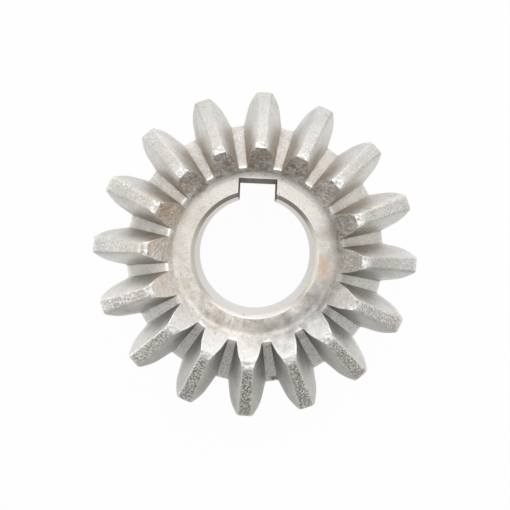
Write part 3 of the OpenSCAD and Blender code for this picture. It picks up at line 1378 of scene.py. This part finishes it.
# Marks on the teeth: tan toe faces on the left and grey ones on the right, paler lands low on the left,
# a gold streak, and tooth spaces that are dull on the left and pale on the upper right. Then a faint tan
# patch where the ring meets the upper left teeth, and a dark casting pit.
TOOTH_STAINS = (
    Stain(at=(-28.0, -6.0, 22.0), reach=10.0, colour="#ebeae7", share=0.45),
    Stain(at=(-18.0, 8.8, 29.0), reach=6.0, colour="#cdb295", share=0.42),
    Stain(at=(-20.0, 1.4, 29.5), reach=6.0, colour="#d6c7b3", share=0.5),
    Stain(at=(-18.8, -6.4, 29.5), reach=6.0, colour="#d9cab5", share=0.45),
    Stain(at=(-2.4, 20.6, 28.0), reach=2.5, colour="#b08d55", share=0.6),
    Stain(at=(-22.0, -19.0, 22.0), reach=9.0, colour="#ebeae7", share=0.35),
    Stain(at=(19.5, -2.0, 29.0), reach=8.0, colour="#7d7b75", share=0.45),
    Stain(at=(18.0, 7.0, 28.5), reach=6.5, colour="#838179", share=0.45),
    Stain(at=(-22.5, 4.9, 20.0), reach=8.0, colour="#8a867f", share=0.35),
    Stain(at=(-22.6, -4.1, 20.0), reach=8.0, colour="#8a867f", share=0.45),
    Stain(at=(-19.3, -12.4, 20.0), reach=8.0, colour="#7d7973", share=0.15),
    Stain(at=(19.3, 12.4, 20.0), reach=9.0, colour="#e2dcd2", share=0.4),
    Stain(at=(13.1, 18.9, 20.0), reach=9.0, colour="#e2dcd2", share=0.35),
    Stain(at=(-12.5, 8.0, 26.0), reach=6.0, colour="#c6bbad", share=0.35),
    Stain(at=(5.4, -26.3, 16.0), reach=1.3, colour="#2e2721", share=0.95),
)

# Shot-blasted casting: a matt, pale grey grain that the light rakes, lumpy on the upper toe faces.
CAST_STEEL = SteelFinish(
    name="shot_blasted_cast_steel",
    colour="#dcdad6",
    roughness=0.62,
    reliefs=(
        Relief(size=0.26, depth=0.06),
        Relief(size=0.3, depth=0.08, mask="land", fade=(6.0, -18.0), lay=Lay.ACROSS),
        Relief(size=0.9, depth=0.12, mask="toe"),
        Relief(size=0.7, depth=0.35, mask="toe", fade=(-12.0, 4.0)),
    ),
    marks=(
        *BLAST_GRAIN_AND_GLINTS,
        *FLANK_SHEEN,
        *LAND_GRAIN_SHADE_AND_GLINTS,
        *ROOT_SPECKS,
        *TOE_SCALE_AND_LIGHT,
        *RING_SKIN,
        *SPACE_SOIL_AND_SHADE,
        *WORN_AND_LIT_EDGES,
        *RING_STAINS,
        *TOOTH_STAINS,
    ),
)

# Faced tips: a clean cut that flashes almost white against the blasted skin, with a few cast pits left in it,
# and painted shade that darkens the facets of the lower teeth.
FACED_STEEL = SteelFinish(
    name="faced_steel",
    colour="#f2f1ee",
    roughness=0.48,
    reliefs=(Relief(size=0.5, depth=0.08), Relief(size=1.1, depth=0.3)),
    marks=(
        Veil(colour="#9a9791", share=0.5, size=0.4, start=0.55, full=0.38),
        Veil(colour="#b9b3aa", share=0.4, size=2.0, start=0.5, full=0.65),
        Veil(colour="#8b867e", share=0.45, size=0.7, start=0.46, full=0.36),
        # Painted shade: the facets of the lower teeth darker.
        Veil(colour="#8d8880", share=0.15, size=1.2, start=0.3, full=0.6, fade=(8.0, -16.0)),
    ),
)

# Turned bore and back: smooth, with fine lines round the axis and a light tint over the chamfer; painted
# shade darkens the upper part of the bore and of the chamfer, and painted light pales the chamfer's lower
# part.
TURNED_STEEL = SteelFinish(
    name="turned_steel",
    colour="#eeebe7",
    roughness=0.36,
    reliefs=(Relief(size=0.3, depth=0.006, lay=Lay.ROUND),),
    marks=(
        Veil(colour="#bdb6ab", share=0.35, size=0.3, start=0.55, full=0.4, lay=Lay.ROUND),
        Veil(colour="#c9bfb2", share=0.25, size=3.0, start=0.45, full=0.65, lay=Lay.ROUND),
        # Painted shade: the upper part of the bore, and of the back with it, darker.
        Veil(colour="#a7a198", share=0.45, size=8.0, start=0.0, full=0.3, fade=(-13.0, -2.0)),
        # Painted shade on the upper part of the chamfer.
        Veil(colour="#8a7660", share=0.5, size=3.0, start=0.0, full=0.3, mask="chamfer", fade=(0.0, 11.0)),
        Veil(colour="#b3a390", share=0.25, size=3.0, start=0.2, full=0.5, mask="chamfer"),
        # Painted light on the lower part of the chamfer.
        Veil(colour="#e9e4dd", share=0.6, size=3.0, start=0.0, full=0.3, mask="chamfer", fade=(9.0, 1.0)),
        Stain(at=(-1.76, -12.46, 25.0), reach=0.6, colour="#6b645b", share=0.6),
    ),
)

# Broached keyway: cut lengthways, under a brown film that takes most of its shine, dark beside the bore.
BROACHED_STEEL = SteelFinish(
    name="broached_steel",
    colour="#9c8e7f",
    roughness=0.7,
    metallic=0.3,
    reliefs=(Relief(size=0.5, depth=0.03, lay=Lay.ALONG),),
    marks=(
        Veil(colour="#5f5347", share=0.65, size=0.6, start=0.56, full=0.42),
        Veil(colour="#8c7e6d", share=0.5, size=0.5, start=0.52, full=0.64),
        Veil(colour="#80756a", share=0.35, size=4.0, start=0.42, full=0.68, lay=Lay.ALONG),
    ),
)

FINISHES = {
    Finish.CAST: CAST_STEEL,
    Finish.FACED: FACED_STEEL,
    Finish.TURNED: TURNED_STEEL,
    Finish.BROACHED: BROACHED_STEEL,
}

LAMPS = (
    SoftLamp("key_high", at=(0.0, 0.65, 0.75), size=(1.6, 0.9), watts=7.5),
    SoftLamp("key_low", at=(0.0, 0.9, 0.13), size=(2.0, 0.26), watts=5.0),
    SoftLamp("overhead", at=(0.0, 0.0, 1.0), size=(1.0, 1.0), watts=1.85),
    SoftLamp("fill_right", at=(0.9, 0.0, 0.4), size=(1.2, 0.8), watts=2.3),
    SoftLamp("fill_left", at=(-0.9, 0.0, 0.13), size=(1.2, 0.26), watts=2.7),
)


def main() -> None:
    """Builds the gear and its studio, in order."""
    logging.basicConfig(level=logging.INFO, format="%(name)s: %(message)s")
    bore = next(mount for mount in frame["record"]["mounts"] if mount["name"] == "bore")
    blank = BlankForm(bore_radius=bore["dims"]["r_mm"])
    pinion = Pinion(ToothForm(), blank, MarkPlaces(), FINISHES)
    skin = pinion.build()
    pinion.dress(skin)
    LOG.info("%s: %d faces", skin.name, len(skin.data.polygons))
    Studio(LAMPS).build()
    LOG.info("studio: %d lamps", len(LAMPS))


if __name__ == "__main__":
    main()
